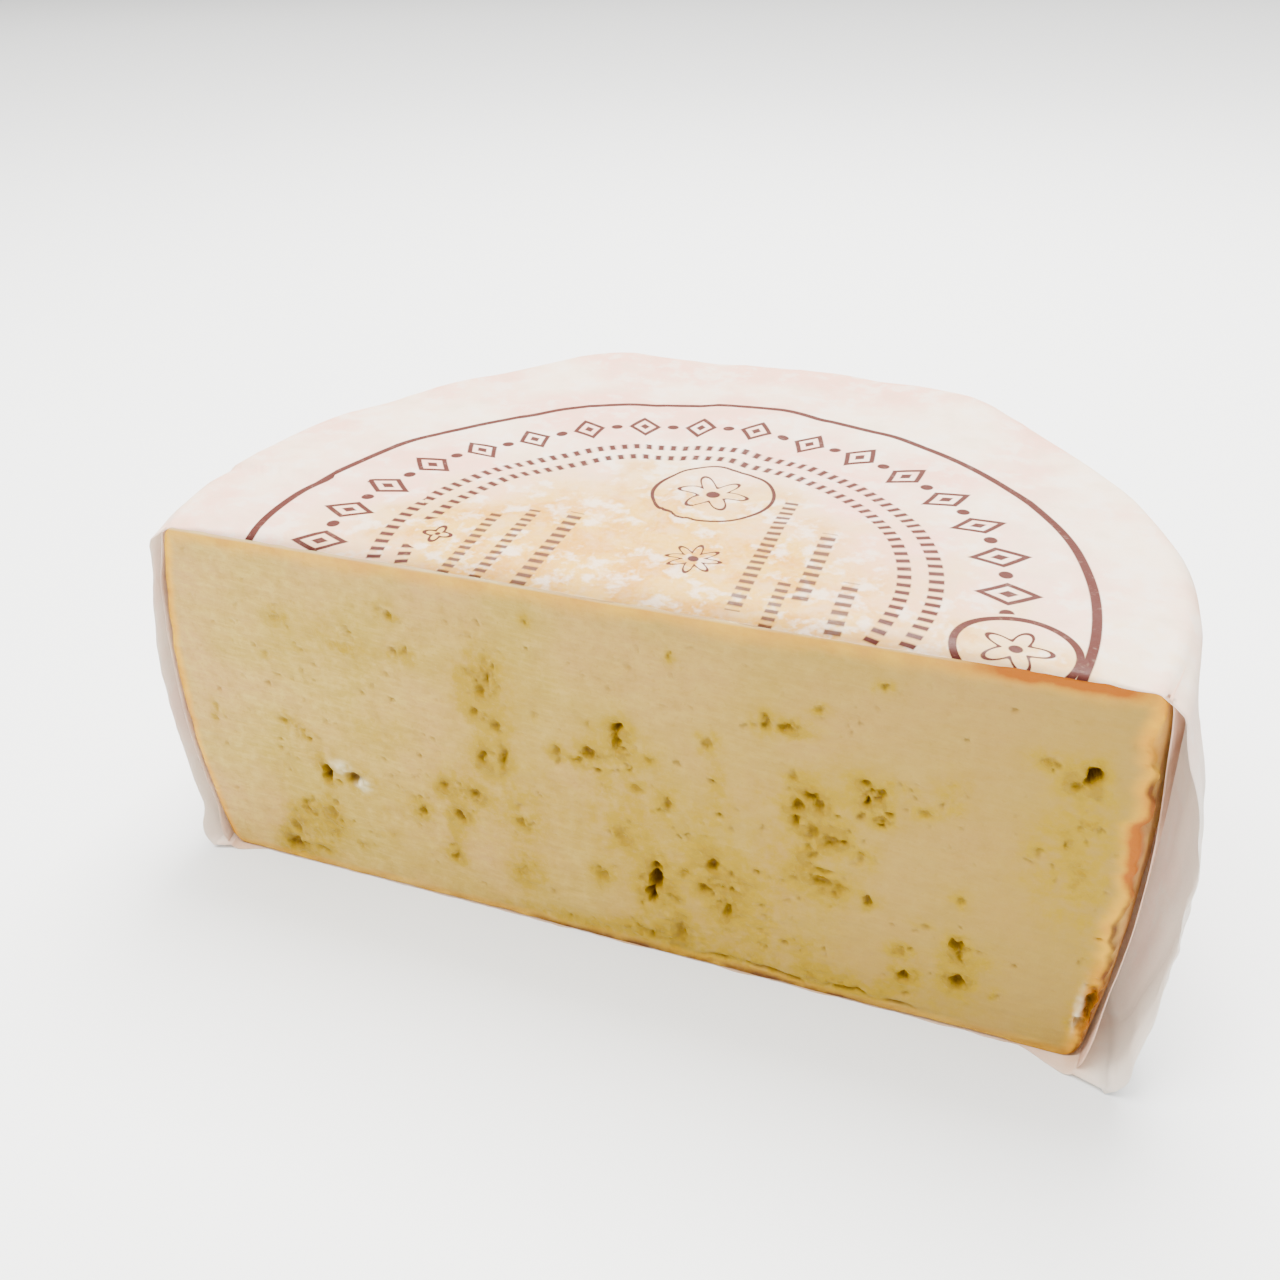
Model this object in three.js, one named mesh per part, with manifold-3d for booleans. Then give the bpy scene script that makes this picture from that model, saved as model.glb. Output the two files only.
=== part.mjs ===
// A cut wheel of cured cheese, a little more than half of it, still in its sheet of
// greaseproof paper. Millimetres, +Z up. The origin is on the wheel's axis, on the
// surface that the piece stands on; the knife's cut faces -Y and runs along X.
import * as THREE from 'three';
import { mergeVertices } from 'three/addons/utils/BufferGeometryUtils.js';
import Module from 'manifold-3d';

// Driving dimensions
const WHEEL_RADIUS = 104.5; // axis to rind at the two rims
const WHEEL_HEIGHT = 85.4;
const RIM_ROUND = 3.0; // the rind's rounded edge
const CUT_Y = -31; // the knife passed this far in front of the axis
const BULGE_MEAN = 4.0; // how far the side swells at mid height
const BULGE_SKEW = 1.4; // and how much less it swells at +X than at -X
const PAPER_THICKNESS = 0.4; // the sheet and its folds together
const PAPER_GAP = 0.3;

// Where the paper has come loose beside the cut's two ends
const LOOSE_RIGHT = { reach: 9.6, highest: 28, spanUp: 62, spanDown: 40, spread: 0.22 };
const LOOSE_LEFT = { reach: 4.2, highest: 20, spanUp: 85, spanDown: 85, spread: 0.22 };

// The larger eyes in the cut: x, z, width, height, depth
const EYES = [
  [11.8, 19.3, 2.6, 6.4, 5.0],
  [2.6, 55.9, 2.4, 5.2, 3.6],
  [90.5, 67.1, 3.0, 3.0, 3.6],
  [40.9, 48.1, 4.2, 3.2, 3.0],
  [53.9, 54.0, 3.2, 2.2, 2.0],
  [35.0, 66.7, 4.2, 1.4, 2.0],
  [-69.1, 27.3, 2.2, 2.6, 2.8],
  [-26.5, 42.4, 2.4, 2.8, 2.2],
  [74.3, 21.1, 1.8, 2.2, 2.4],
  [75.3, 12.3, 2.0, 2.0, 2.4],
  [64.9, 10.6, 1.8, 1.8, 2.0],
];

// Fineness of the turned surfaces
const TURN_STEPS = 96;
const ROUND_STEPS = 4;
const SIDE_STEPS = 8;

// Heights of the layers, from the surface upwards
const CHEESE_BASE = PAPER_THICKNESS + PAPER_GAP;
const CHEESE_TOP = CHEESE_BASE + WHEEL_HEIGHT;
const PAPER_TOP = CHEESE_TOP + PAPER_GAP + PAPER_THICKNESS;
const MID_HEIGHT = PAPER_TOP / 2;

const CHEESE_FINISH = new THREE.MeshStandardMaterial({ color: 0xcdbe96, roughness: 0.5, metalness: 0 });
const PAPER_FINISH = new THREE.MeshStandardMaterial({ color: 0xefe2d8, roughness: 0.6, metalness: 0 });

const wasm = await Module();
wasm.setup();

/* A closed three.js geometry as a manifold solid, its shared vertices merged. */
function toSolid(geometry) {
  const bare = geometry.clone();
  bare.deleteAttribute('normal');
  bare.deleteAttribute('uv');
  const merged = mergeVertices(bare, 1e-4);
  return new wasm.Manifold(
    new wasm.Mesh({
      numProp: 3,
      vertProperties: new Float32Array(merged.attributes.position.array),
      triVerts: new Uint32Array(merged.index.array),
    }),
  );
}

/* A manifold solid as a named three.js mesh. */
function toMesh(name, solid, material) {
  const { numProp, vertProperties, triVerts } = solid.getMesh();
  const points = new Float32Array((vertProperties.length / numProp) * 3);
  for (let i = 0; i < points.length / 3; i += 1) {
    points.set(vertProperties.subarray(i * numProp, i * numProp + 3), i * 3);
  }
  const geometry = new THREE.BufferGeometry();
  geometry.setAttribute('position', new THREE.BufferAttribute(points, 3));
  geometry.setIndex(new THREE.BufferAttribute(new Uint32Array(triVerts), 1));
  geometry.computeVertexNormals();
  const mesh = new THREE.Mesh(geometry, material);
  mesh.name = name;
  return mesh;
}

/* The wheel's half section, from the axis at the base round to the axis at the top. */
function wheelProfile(radius, base, top, round) {
  const points = [new THREE.Vector2(0, base)];
  for (let i = 0; i <= ROUND_STEPS; i += 1) {
    const turn = (i / ROUND_STEPS) * (Math.PI / 2);
    points.push(new THREE.Vector2(
      radius - round + round * Math.sin(turn),
      base + round - round * Math.cos(turn),
    ));
  }
  for (let i = 1; i < SIDE_STEPS; i += 1) {
    points.push(new THREE.Vector2(
      radius,
      THREE.MathUtils.lerp(base + round, top - round, i / SIDE_STEPS),
    ));
  }
  for (let i = 0; i <= ROUND_STEPS; i += 1) {
    const turn = (i / ROUND_STEPS) * (Math.PI / 2);
    points.push(new THREE.Vector2(
      radius - round + round * Math.cos(turn),
      top - round + round * Math.sin(turn),
    ));
  }
  points.push(new THREE.Vector2(0, top));
  return points;
}

/* How far the wheel's own side swells beyond its rims, at an angle and a height. */
function bulge(angle, z) {
  const share = (z - MID_HEIGHT) / MID_HEIGHT;
  return (BULGE_MEAN - BULGE_SKEW * Math.cos(angle)) * (1 - share * share);
}

/* The angle of a point round the axis, with its jump on the side that is cut away. */
function angleOf(x, y) {
  const angle = Math.atan2(y, x);
  return angle < -Math.PI / 2 ? angle + 2 * Math.PI : angle;
}

/* How far a loose end of paper stands off the rind, given its angle from the cut. */
function looseness(end, fromCut, z) {
  const share = (z - end.highest) / (z > end.highest ? end.spanUp : end.spanDown);
  return end.reach * Math.exp(-((fromCut / end.spread) ** 2)) * Math.max(0, 1 - share * share);
}

/* The paper's whole offset: the wheel's swelling and both loose ends. */
function paperOffset(angle, z) {
  const cutAngle = Math.asin(CUT_Y / WHEEL_RADIUS);
  const right = looseness(LOOSE_RIGHT, angle - cutAngle, z);
  const left = looseness(LOOSE_LEFT, Math.PI - cutAngle - angle, z);
  return bulge(angle, z) + right + left;
}

/* Turns a profile about +Z and moves each point outwards by offset(angle, z). */
function turnedSolid(profile, offset) {
  const geometry = new THREE.LatheGeometry(profile, TURN_STEPS).rotateX(Math.PI / 2);
  const place = geometry.attributes.position;
  for (let i = 0; i < place.count; i += 1) {
    const [x, y, z] = [place.getX(i), place.getY(i), place.getZ(i)];
    const grow = 1 + offset(angleOf(x, y), z) / WHEEL_RADIUS;
    place.setXYZ(i, x * grow, y * grow, z);
  }
  return toSolid(geometry);
}

/* The part of space that the knife took away. */
function takenAway() {
  const size = 4 * WHEEL_RADIUS;
  const block = new THREE.BoxGeometry(size, size, size);
  block.translate(0, CUT_Y - size / 2, 0);
  return toSolid(block);
}

/* Every eye as one flattened ball centred on the cut. */
function eyeSolids() {
  return EYES.map(([x, z, width, height, depth]) => {
    const ball = new THREE.IcosahedronGeometry(1, 2);
    ball.scale(width / 2, depth, height / 2);
    ball.translate(x, CUT_Y, z);
    return toSolid(ball);
  });
}

/* Paste and rind grew as one piece, so they are one solid, with its eyes open in the cut. */
function cheeseHalf() {
  const profile = wheelProfile(WHEEL_RADIUS, CHEESE_BASE, CHEESE_TOP, RIM_ROUND);
  let solid = turnedSolid(profile, bulge).subtract(takenAway());
  for (const eye of eyeSolids()) {
    solid = solid.subtract(eye);
  }
  return toMesh('cheese_half', solid, CHEESE_FINISH);
}

/* One sheet over the top, down the side and folded under the base, cut with the cheese. */
function paperWrapper() {
  const inner = WHEEL_RADIUS + PAPER_GAP;
  const outer = inner + PAPER_THICKNESS;
  const innerRound = RIM_ROUND + PAPER_GAP;
  const shell = turnedSolid(
    wheelProfile(outer, 0, PAPER_TOP, innerRound + PAPER_THICKNESS),
    paperOffset,
  );
  const hollow = turnedSolid(
    wheelProfile(inner, PAPER_THICKNESS, PAPER_TOP - PAPER_THICKNESS, innerRound),
    paperOffset,
  );
  return toMesh('paper_wrapper', shell.subtract(hollow).subtract(takenAway()), PAPER_FINISH);
}

const cheeseWheel = new THREE.Group();
cheeseWheel.name = 'cheese_wheel';
cheeseWheel.add(cheeseHalf(), paperWrapper());

export default cheeseWheel;
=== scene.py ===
"""A cut wheel of cured cheese, a little over half of it, still in its printed greaseproof paper.

Shapes are worked out in millimetres and go into their meshes in metres. The frame's origin is on
the wheel's axis, on the surface the piece stands on; the knife's cut faces -Y and runs along X.
"""
import math

import bmesh
import bpy
import numpy as np
from mathutils import Matrix, Vector


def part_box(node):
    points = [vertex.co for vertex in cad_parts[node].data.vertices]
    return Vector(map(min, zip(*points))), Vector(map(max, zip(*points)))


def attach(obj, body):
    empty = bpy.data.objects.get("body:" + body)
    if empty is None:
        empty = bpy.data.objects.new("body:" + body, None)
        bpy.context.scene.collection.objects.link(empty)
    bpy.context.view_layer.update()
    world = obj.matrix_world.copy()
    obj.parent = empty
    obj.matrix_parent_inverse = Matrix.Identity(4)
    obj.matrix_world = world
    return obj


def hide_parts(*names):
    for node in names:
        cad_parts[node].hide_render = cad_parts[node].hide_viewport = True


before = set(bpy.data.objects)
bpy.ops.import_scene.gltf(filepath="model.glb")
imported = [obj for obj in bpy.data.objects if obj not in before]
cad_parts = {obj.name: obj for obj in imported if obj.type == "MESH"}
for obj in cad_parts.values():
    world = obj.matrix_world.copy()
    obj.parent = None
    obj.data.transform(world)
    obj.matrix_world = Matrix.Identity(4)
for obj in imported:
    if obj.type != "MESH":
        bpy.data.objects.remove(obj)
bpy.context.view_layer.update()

# --------------------------------------------------
# The cheese: paste and rind in one piece.
# A pressed curd wheel, salted, dried and cured in olive oil, then cut straight down with a wire
# knife. The side swells a little, and the oil has soaked in round the eyes.
# --------------------------------------------------
MM = 0.001
MERGE_DISTANCE = 2e-6  # points nearer than this, in metres, are one
BULGE_MEAN = 4.0  # how far the side swells at mid height
BULGE_SKEW = 1.4  # how much less it swells at +X than at -X
RIM_ROUND = 3.0
BASE_SINK = 0.35  # the real sheet is thinner than the CAD's, and the cheese fills the rest
TOP_RISE = 0.45
cheese_low, cheese_high = (np.array(corner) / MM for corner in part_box("cheese_half"))
CUT = cheese_low[1]
RIM = cheese_high[1] - BULGE_MEAN

ZIGZAG_STEP = 14.0  # the press band's plait: way round from a turn to the next, how high it climbs
ZIGZAG_RISE = 9.0
RIDGE_STEP = 4.2  # and from a ridge to the groove over it

LATTICE = np.random.default_rng(11).uniform(-1, 1, 8192)
LATTICE_STEPS = (73856093, 19349663, 83492791)


def cloud(points, size, seed=0):
    """Smooth noise from -1 to 1: random values on a lattice of cells `size` wide, blended between
    the cell's corners by 3t^2 - 2t^3 along each axis. points is (..., axes); size is a number or
    one for each axis."""
    place = np.asarray(points, float) / np.asarray(size, float)
    cell = np.floor(place).astype(np.int64)
    share = place - cell
    blend = share * share * (3 - 2 * share)
    total = 0.0
    for corner in np.ndindex(*(2,) * place.shape[-1]):
        key = np.full(place.shape[:-1], seed * 7919 + 17, np.int64)
        weight = 1.0
        for axis, end in enumerate(corner):
            key = key ^ ((cell[..., axis] + end) * LATTICE_STEPS[axis])
            weight = weight * (blend[..., axis] if end else 1 - blend[..., axis])
        total = total + weight * LATTICE[key % LATTICE.size]
    return total


def flat(*parts):
    """Coordinates stacked as points, each broadcast to one shape."""
    return np.stack(np.broadcast_arrays(*parts), -1)


def smooth(low, high, value):
    """0 below low, 1 above high, and 3t^2 - 2t^3 between them."""
    share = np.clip((value - low) / (high - low), 0, 1)
    return share * share * (3 - 2 * share)


class Wheel:
    """The outside of a swelling, round-rimmed wheel cut by a plane: the cheese or a skin over it."""

    def __init__(self, rim, base, top, turn):
        self.rim = rim
        self.base = base
        self.top = top
        self.turn = turn
        self.middle = (base + top) / 2

    def bulge(self, angle, z):
        """(mean - skew cos angle)(1 - share^2), share being the height above or below the middle."""
        share = (z - self.middle) / (self.top - self.middle)
        return (BULGE_MEAN - BULGE_SKEW * np.cos(angle)) * (1 - share * share)

    def side(self, u, v, plane):
        """The side: u goes round from the cut's right end to its left, v up from the middle of the
        lower rim's rounding to the middle of the upper one's: arc, straight, arc, by length.
        Gives points and outward directions."""
        eighth = math.pi / 4
        arc = self.turn * eighth
        straight = self.top - self.base - 2 * self.turn
        run = v * (straight + 2 * arc)
        lean = np.clip(run / self.turn, 0, eighth) - eighth
        lean = lean + np.clip((run - arc - straight) / self.turn, 0, eighth)
        radius = self.rim - self.turn * (1 - np.cos(lean))
        z = self.base + self.turn * (1 + np.sin(lean)) + np.clip(run - arc, 0, straight)
        first = math.asin(plane / self.rim)
        right = np.arcsin(plane / (radius + self.bulge(first, z)))
        left = math.pi - np.arcsin(plane / (radius + self.bulge(math.pi - first, z)))
        angle = right + (left - right) * u
        radius = radius * (1 + self.bulge(angle, z) / self.rim)
        out = flat(np.cos(lean) * np.cos(angle), np.cos(lean) * np.sin(angle), np.sin(lean))
        return flat(radius * np.cos(angle), radius * np.sin(angle), z), out

    def cap(self, u, t, plane, upper):
        """The top or the base: straight lines from the rim (t = 0) to the cut (t = 1), each column
        u meeting the cut at an even spacing; the rim's rounding goes on until it is level."""
        edge, _ = self.side(u, np.full_like(u, 1.0 if upper else 0.0), plane)
        right, left = edge[0, 0, 0], edge[-1, 0, 0]
        x = edge[..., 0] + (right + (left - right) * u - edge[..., 0]) * t
        y = edge[..., 1] + (plane - edge[..., 1]) * t
        inward = np.hypot(edge[..., 0], edge[..., 1]) - np.hypot(x, y)
        across = np.clip(self.turn * math.sin(math.pi / 4) - inward, 0, None)
        drop = self.turn - np.sqrt(self.turn**2 - across**2)
        lean = across / self.turn
        z = self.top - drop if upper else self.base + drop
        angle = np.arctan2(y, x)
        rise = np.sqrt(1 - lean**2) * (1 if upper else -1)
        return flat(x, y, z), flat(lean * np.cos(angle), lean * np.sin(angle), rise)

    def skin(self, columns, cap_rows, side_rows, plane):
        """The whole outside as one grid: columns go round, rows go from the cut over the top, down
        the side and back under the base to the cut."""
        u = np.linspace(0, 1, columns + 1)[:, None]
        t = (np.linspace(1, 0, cap_rows + 1)[None, :]) ** 1.6
        v = np.linspace(1, 0, side_rows + 1)[None, :]
        u_cap, t = np.broadcast_arrays(u, t)
        top, top_out = self.cap(u_cap, t, plane, True)
        base, base_out = self.cap(u_cap, t[:, ::-1], plane, False)
        side, side_out = self.side(*np.broadcast_arrays(u, v), plane)
        points = np.concatenate([top[:, :-1], side, base[:, 1:]], 1)
        return points, np.concatenate([top_out[:, :-1], side_out, base_out[:, 1:]], 1)


cheese_wheel = Wheel(RIM, cheese_low[2] - BASE_SINK, cheese_high[2] + TOP_RISE, RIM_ROUND)
LEAN_FOOT = 2.2  # how far the knife's plane comes forward at the base
LEAN_TOP = 1.0  # and goes back at the top
LEAN_FADE = 30.0  # the depth over which the lean dies away


def leaned(points):
    """The knife's plane leans by about two degrees: points on it come forward at the base and go
    back at the top, and points behind it follow less and less."""
    near = np.exp(-np.clip(points[..., 1] - CUT, 0, None) / LEAN_FADE)
    shift = ((LEAN_FOOT + LEAN_TOP) * points[..., 2] / cheese_wheel.top - LEAN_FOOT) * near
    return points + flat(0 * shift, shift, 0 * shift)


def rind_relief(points):
    """How far the rind stands in or out: broad dents, the drying cloth's grain, and on the side the
    zigzag that a plaited press band leaves, as ridges along a triangle wave of the way round."""
    angle = np.arctan2(points[..., 1], points[..., 0])
    around = angle * RIM
    z = points[..., 2]
    zigzag = np.abs((around / ZIGZAG_STEP) % 2 - 1) * ZIGZAG_RISE
    ridge = np.abs(((z + zigzag) / RIDGE_STEP) % 2 - 1) - 0.5
    on_side = smooth(6, 14, z - cheese_wheel.base) * smooth(6, 14, cheese_wheel.top - z)
    dents = 0.35 * cloud(points, 24, 1) + 0.16 * cloud(points, 5, 2) + 0.1 * cloud(points, 2.2, 3)
    return dents - 0.15 + 0.35 * on_side * ridge * (0.7 + 0.5 * cloud(points, 30, 4))


# Eyes that the knife opened: x, z, width, height, depth
EYES = [
    (-75.5, 69, 2.6, 2.0, 0.6), (-47, 74.5, 2.1, 2.1, 1.0), (-80, 59, 1.8, 1.5, 0.5),
    (-44, 66.5, 1.6, 1.7, 0.6), (-96.5, 41, 1.5, 3.3, 0.6), (-97.5, 38, 1.6, 2.0, 0.6),
    (-78.5, 41.5, 3.1, 1.6, 0.9), (-69, 28.3, 2.4, 5.2, 3.5), (-61.8, 29, 4.8, 3.0, 2.4),
    (-76.5, 18, 1.9, 2.0, 1.0), (-74.5, 19.7, 1.5, 1.7, 0.8), (-80.5, 10, 2.4, 4.0, 1.2),
    (-82, 4.4, 3.6, 3.8, 2.0), (-73.5, 4.8, 3.6, 2.0, 0.8), (-69, 16.8, 2.5, 2.6, 0.9),
    (-44, 24.5, 2.0, 2.3, 1.6), (-38, 32.8, 2.0, 2.2, 1.2), (-35, 25.3, 2.2, 2.9, 1.8),
    (-30.7, 32.5, 2.3, 2.3, 1.4), (-37, 13, 2.1, 1.9, 1.3), (-25.5, 63.6, 1.5, 2.7, 1.2),
    (-27, 60, 2.0, 2.8, 1.3), (-29, 55.2, 1.9, 2.1, 1.3), (-24.4, 52, 3.1, 1.6, 1.2),
    (-28, 43.4, 1.5, 4.2, 1.5), (-23, 44.3, 1.4, 4.6, 1.6), (-62, 9.6, 2.5, 1.4, 0.6),
    (-10.5, 49, 1.6, 2.1, 0.9), (-3.2, 50.3, 2.3, 3.0, 1.8), (-6, 47.9, 2.6, 1.2, 0.9),
    (2.9, 57.6, 2.6, 2.8, 2.8), (2.8, 54.7, 1.6, 5.0, 2.2), (-15.3, 57, 1.5, 2.1, 0.6),
    (-3, 57.4, 1.3, 1.8, 0.6), (-16, 78.5, 1.2, 1.6, 0.9), (13.8, 76.7, 1.3, 1.3, 0.9),
    (22, 58.5, 1.9, 2.3, 1.1), (7.2, 44, 2.5, 1.3, 0.9), (13.8, 41.5, 1.7, 2.9, 1.2),
    (-20, 27.6, 1.2, 1.5, 0.9), (-17, 28, 1.7, 1.6, 0.7), (3.8, 30.6, 1.9, 3.6, 0.7),
    (-1, 18.4, 2.4, 3.4, 0.8), (11.4, 24.2, 2.3, 3.0, 2.6), (11.6, 20.2, 2.9, 5.6, 5.0),
    (10.6, 16, 2.2, 4.0, 4.0), (23.6, 27.8, 2.1, 3.4, 2.2), (22, 21, 2.5, 2.0, 2.0),
    (17.8, 24, 1.3, 2.0, 0.8), (15.3, 16.4, 2.2, 1.4, 1.0), (27.3, 16.8, 1.6, 3.8, 1.8),
    (9, 5.4, 4.4, 1.9, 0.7), (17, 7, 2.6, 4.6, 1.3), (54.2, 78, 1.3, 1.4, 1.0),
    (43, 70.8, 1.8, 1.2, 0.8), (33.2, 65.8, 1.0, 3.2, 1.6), (37.2, 65.6, 4.2, 1.3, 1.2),
    (39, 54.8, 1.3, 2.3, 0.8), (40.3, 48, 2.1, 3.4, 2.0), (42.7, 51, 2.7, 1.8, 1.8),
    (44.7, 48.8, 1.4, 2.8, 1.6), (40.3, 44, 1.6, 3.0, 1.8), (43.7, 42.3, 2.3, 2.3, 1.3),
    (47.7, 40.6, 3.1, 2.4, 1.6), (43.6, 36.6, 2.3, 1.5, 0.8), (53.6, 38.3, 1.7, 2.1, 0.9),
    (52.8, 56.3, 2.6, 1.5, 1.4), (56, 54.5, 1.9, 2.7, 1.5), (53.6, 52.4, 1.2, 1.6, 2.2),
    (57, 48.8, 1.8, 2.0, 1.0), (64, 52.2, 2.4, 1.4, 0.8), (46.7, 33.3, 4.4, 1.1, 1.0),
    (46.4, 30.3, 3.7, 2.6, 1.6), (50, 29.4, 2.6, 2.1, 1.0), (55.7, 28, 1.8, 2.3, 1.8),
    (73.2, 33.5, 2.1, 2.1, 0.9), (67.4, 25.3, 2.3, 1.1, 0.7), (84, 69.5, 2.8, 2.0, 0.7),
    (91, 67.6, 2.4, 4.0, 4.2), (88.8, 65.2, 2.4, 1.9, 1.3), (89.5, 52, 0.9, 1.2, 0.9),
    (85.5, 49, 1.2, 1.5, 0.7), (65, 10.7, 2.1, 2.7, 2.2), (63.5, 17.3, 2.0, 1.8, 0.7),
    (74, 21.8, 2.2, 3.5, 2.4), (74.7, 19.4, 1.7, 3.0, 1.4), (75.4, 12.3, 2.9, 3.3, 2.6),
    (83, 11.6, 1.2, 1.5, 0.7), (100.4, 15, 2.4, 10, 2.6), (99, 9.6, 1.8, 4, 1.8),
]

# Patches where oil has soaked into the paste: x, z, half width, half height, strength
OIL = [
    (-75, 69, 3, 2, 0.4), (-72, 63, 4, 3, 0.3), (-60, 66, 8, 7, 0.4), (-46, 64.5, 4, 2, 0.5),
    (-27, 61, 6, 8, 0.9), (-25, 67, 3, 3, 0.6), (-74, 39, 4, 3, 0.4), (-80, 29, 6, 6, 0.25),
    (-76, 14, 6, 6, 0.7), (-81, 5, 4, 4, 0.9), (-69, 13, 3, 5, 0.7), (-44, 25, 2.5, 2.5, 0.6),
    (-36, 32, 5, 5, 0.6), (-37, 18, 3, 6, 0.6), (-31, 31, 5, 4, 0.5), (-54, 44, 8, 5, 0.25),
    (-24, 52, 3, 2, 0.7), (-25, 43, 4, 4, 0.7), (-19, 28, 4, 5, 0.6), (-19, 13.5, 4.5, 4.5, 0.95),
    (-10, 49, 2, 2, 0.6), (-3, 50, 4, 3, 0.8), (4, 53, 3.5, 5, 0.9), (9, 52, 3, 4, 0.5),
    (4, 40, 8, 9, 0.45), (4, 29.5, 6, 4, 0.75), (14, 41, 2.5, 4, 0.6), (24, 50, 1.5, 4, 0.7),
    (26, 41, 2.5, 4, 0.6), (-1, 18, 2.5, 3, 0.5), (11, 18.5, 5, 8, 0.85), (23, 25, 5, 6, 0.75),
    (18, 7.5, 6, 5, 0.85), (9, 5, 5, 3, 0.8), (27, 17, 3, 4, 0.7), (21, 36, 6, 7, 0.35),
    (27, 24, 7, 9, 0.5), (33, 66, 3, 2.5, 0.7), (38, 65.5, 4, 2, 0.8), (43, 47, 7, 8, 0.95),
    (48, 41, 4, 3, 0.95), (44, 36, 4, 4, 0.8), (55, 54, 4.5, 4, 0.85), (60, 57, 4, 1.5, 0.6),
    (47, 30, 5, 4, 0.95), (54, 39, 3, 3, 0.6), (57, 49, 3, 2.5, 0.6), (68, 57, 4, 5, 0.45),
    (84, 69, 3, 2, 0.4), (89, 65, 3.5, 4, 0.85), (92, 58, 5, 7, 0.6), (91, 46, 8, 11, 0.65),
    (63.5, 17, 2.5, 2, 0.8), (65, 11, 2.5, 2.5, 0.7), (76, 19, 5, 3.5, 0.75), (75, 12, 3.5, 3, 0.8),
    (40, 12, 9, 8, 0.45), (97, 38, 3, 12, 0.3), (58, 6, 20, 3, 0.35), (30, 3.5, 30, 2.5, 0.75),
    (-5, 3, 20, 2, 0.5), (35, 30, 12, 14, 0.3), (-50, 20, 14, 10, 0.2), (-20, 36, 12, 12, 0.25),
]
# White crumbs that the knife lifted: x, z, half width, half height
CRUMBS = [(-59.5, 28, 1.8, 1.5), (-65, 31.5, 2.4, 1.6), (98.3, 13.5, 0.7, 5)]
# What each mask of the cut is on the rind outside, if it isn't 0
SHELL_MASKS = {"rind": 1.0, "crust": 0.1, "crumb": 0.3}
PINHOLES = 330
OIL_PINHOLES = 360
SMEAR_TILT = math.radians(-5)  # the way the knife dragged the paste
CUT_COLUMNS = 440
CUT_ROWS = 184
SHELL_PER_CUT = 4  # cut cells to one cell of the rind behind them
SHELL_BACK = 1.6  # the rind's coarser grid starts this far behind the cut
CAP_ROWS = 12


def pinholes(rng):
    """Small holes: half anywhere in the cut, half where the oil has opened the paste."""
    spread = np.column_stack([rng.uniform(-100, 100, PINHOLES), rng.uniform(3, 84, PINHOLES)])
    patches = np.array(OIL)
    picked = patches[rng.choice(len(OIL), OIL_PINHOLES, p=patches[:, 4] / patches[:, 4].sum())]
    oily = picked[:, :2] + rng.normal(0, 0.5, (OIL_PINHOLES, 2)) * picked[:, 2:4]
    places = np.concatenate([spread, oily])
    width = rng.lognormal(math.log(0.62), 0.32, len(places))
    height = width * rng.uniform(0.5, 1.1, len(places))
    return np.column_stack([places, width, height, width * rng.uniform(0.3, 0.9, len(places))])


def opened(x, z, eyes):
    """How deep the eyes go at each point: each is a dish whose plan is an ellipse with an edge that
    noise has eaten, deepest within half its size. Also how close the nearest eye is, for its halo."""
    at = flat(x, z)
    ragged_x = x + 0.55 * cloud(at, 1.3, 5) + 0.3 * cloud(at, 0.7, 6)
    ragged_z = z + 0.55 * cloud(at, 1.3, 7) + 0.3 * cloud(at, 0.7, 8)
    depth = np.zeros_like(x)
    halo = np.zeros_like(x)
    for eye_x, eye_z, width, height, deep in eyes:
        near = (np.abs(x - eye_x) < 2.5 * width + 1) & (np.abs(z - eye_z) < 2.5 * height + 1)
        dx = (ragged_x[near] - eye_x) / (width / 2 + 0.15)
        dz = (ragged_z[near] - eye_z) / (height / 2 + 0.15)
        away = np.hypot(dx, dz)
        depth[near] = np.maximum(depth[near], deep * (1 - smooth(0.35, 1.15, away)))
        halo[near] = np.maximum(halo[near], np.exp(-((away / 2) ** 2)) * min(deep, 1.5) / 1.5)
    return depth, halo


def spot(x, z, patch, spread=1.0):
    """A soft ellipse, exp(-(dx / half width)^2 - (dz / half height)^2), made wider by spread."""
    patch_x, patch_z, half_width, half_height = patch[:4]
    across, up = (x - patch_x) / (half_width * spread), (z - patch_z) / (half_height * spread)
    return np.exp(-(across**2 + up**2))


def soaked(x, z):
    """How oily the paste is, 0 to 1: soft ellipses added as 1 - product(1 - each), broken by noise,
    with a fainter haze twice as wide round each."""
    clear = np.ones_like(x)
    faint = np.ones_like(x)
    for patch in OIL:
        clear = clear * (1 - patch[4] * spot(x, z, patch))
        faint = faint * (1 - 0.5 * patch[4] * spot(x, z, patch, 2.0))
    at = flat(x, z)
    broken = 0.62 + 0.5 * cloud(at, 3.2, 9) + 0.45 * cloud(at, 1.3, 10) + 0.2 * cloud(at, 0.8, 12)
    haze = (1 - faint) * np.clip(0.5 + 0.5 * cloud(at, 7, 26), 0, 1)
    return np.clip((1 - clear) * np.clip(broken, 0, 1.3) + 0.4 * haze, 0, 1)


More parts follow.
